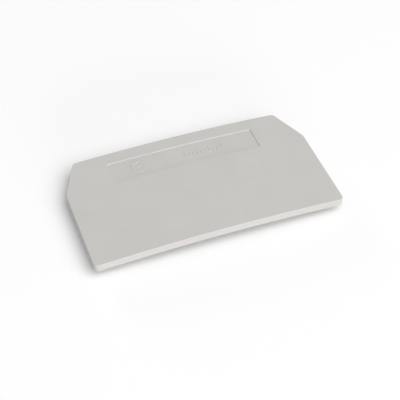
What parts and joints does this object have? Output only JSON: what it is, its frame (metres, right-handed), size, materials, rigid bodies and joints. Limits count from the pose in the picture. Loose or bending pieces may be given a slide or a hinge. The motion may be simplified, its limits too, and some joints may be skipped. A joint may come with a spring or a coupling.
{
  "type": "terminal block end barrier",
  "caption": "Thin moulded plate with a straight foot edge, cut shoulders and a shallow label recess; closes the open side of the last terminal block in a rail-mounted row.",
  "frame": {"origin": "under the middle of the plate, level with the tips of the four pegs that it lies on", "axes": "+X along the foot edge, +Y from the foot edge to the top edge, +Z out of the outer face, which is up"},
  "size_m": [0.0592, 0.0306, 0.005],
  "materials": {
    "moulding": "matte"
  },
  "bodies": {
    "root": {"end_barrier": "moulding"}
  },
  "joints": []
}
